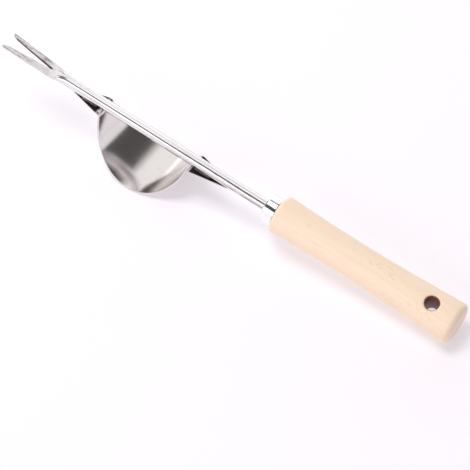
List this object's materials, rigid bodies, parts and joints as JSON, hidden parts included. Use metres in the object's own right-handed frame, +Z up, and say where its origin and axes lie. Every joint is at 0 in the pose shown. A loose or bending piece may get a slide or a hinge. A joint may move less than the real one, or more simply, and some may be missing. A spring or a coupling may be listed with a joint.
{
  "type": "hand weeder",
  "caption": "Forked steel shaft with a bent leaf-shaped fulcrum plate under it, a chrome ferrule and a waisted wooden handle with a hanging hole; levers out tap roots.",
  "frame": {"origin": "on the ground under the middle of the lying tool: centre of the bounding box's bottom face", "axes": "+X along the tool from the fork to the handle, +Z up, +Y across, with the shaft tipped handle-down as the tool rests on its plate and butt"},
  "size_m": [0.326, 0.046, 0.0481],
  "materials": {
    "shaft_steel": "polished stainless, finely scratched along its length",
    "plate_steel": "satin stainless sheet, bright cut edges",
    "weld_metal": "rippled weld bead with a heat tint",
    "ferrule_chrome": "bright chrome plate",
    "beech": "turned beech, sanded smooth, clear satin lacquer",
    "epoxy": "cured amber adhesive, hidden"
  },
  "bodies": {
    "root": {"forked_shaft": "shaft_steel", "fulcrum_plate": "plate_steel", "front_weld_left": "weld_metal", "front_weld_right": "weld_metal", "rear_weld_left": "weld_metal", "rear_weld_right": "weld_metal", "ferrule": "ferrule_chrome", "handle": "beech", "tang_adhesive": "epoxy"}
  },
  "joints": []
}
